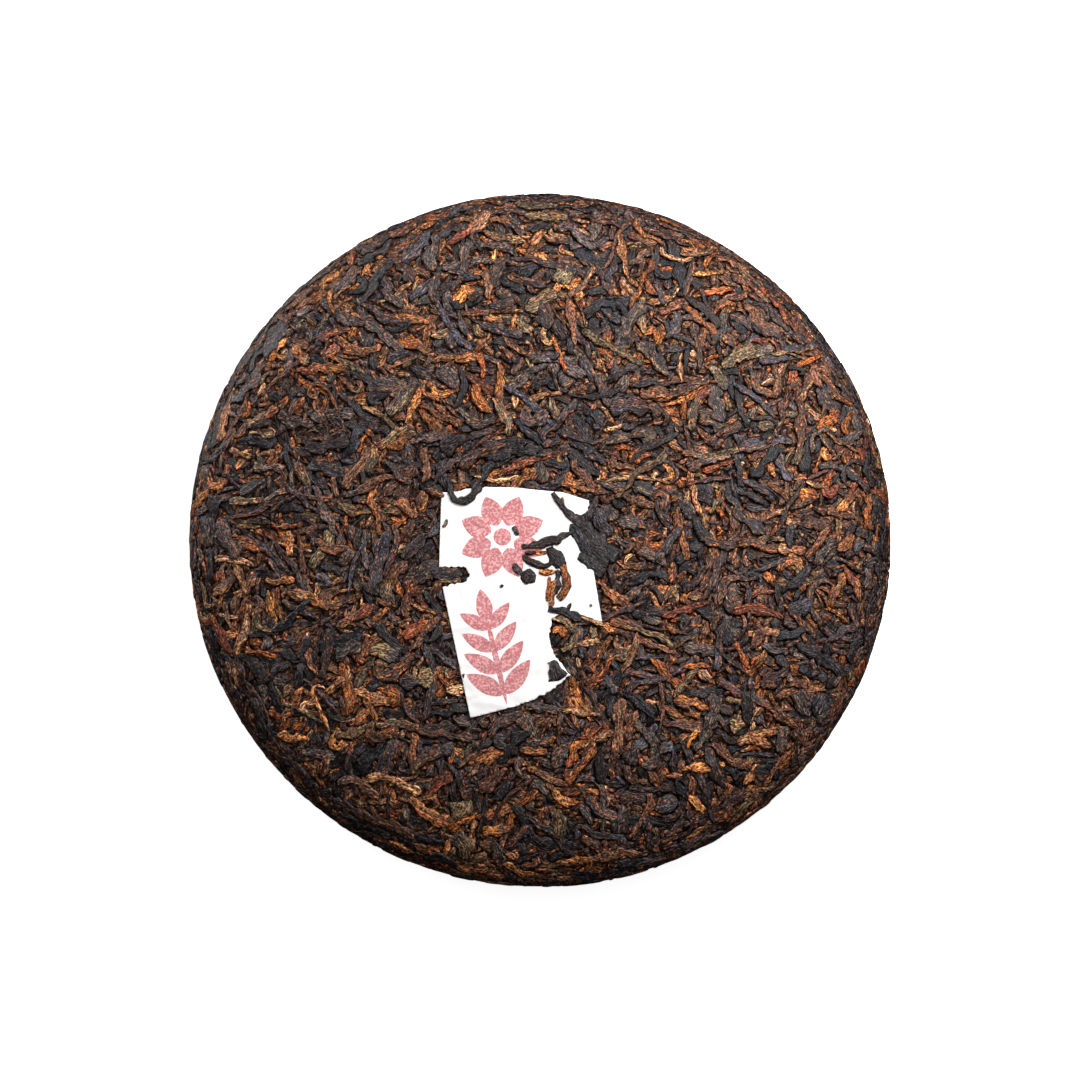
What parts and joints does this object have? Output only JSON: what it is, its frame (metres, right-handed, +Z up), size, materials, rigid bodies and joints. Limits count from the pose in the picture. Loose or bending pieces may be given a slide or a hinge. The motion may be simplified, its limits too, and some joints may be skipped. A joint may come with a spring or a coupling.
{
  "type": "pu erh tea cake",
  "caption": "Pressed round cake of dark fermented tea leaves with a rounded rim, a flat foot, a hollow under its middle and a torn paper ticket bedded in its front.",
  "frame": {"origin": "centre of the flat foot, on the plane that the cake rests on", "axes": "+Z up through the front of the cake, +Y towards the upper edge of the ticket, +X to the right of someone who looks down on the front"},
  "size_m": [0.1999, 0.1996, 0.0252],
  "materials": {
    "pressed_tea": "dark brown rolled tea leaves with tan and golden buds, satin",
    "ticket_paper": "thin uncoated white paper, matte, embossed by the leaves under it"
  },
  "bodies": {
    "root": {"pressed_tea": "pressed_tea", "paper_ticket": "ticket_paper"}
  },
  "joints": []
}
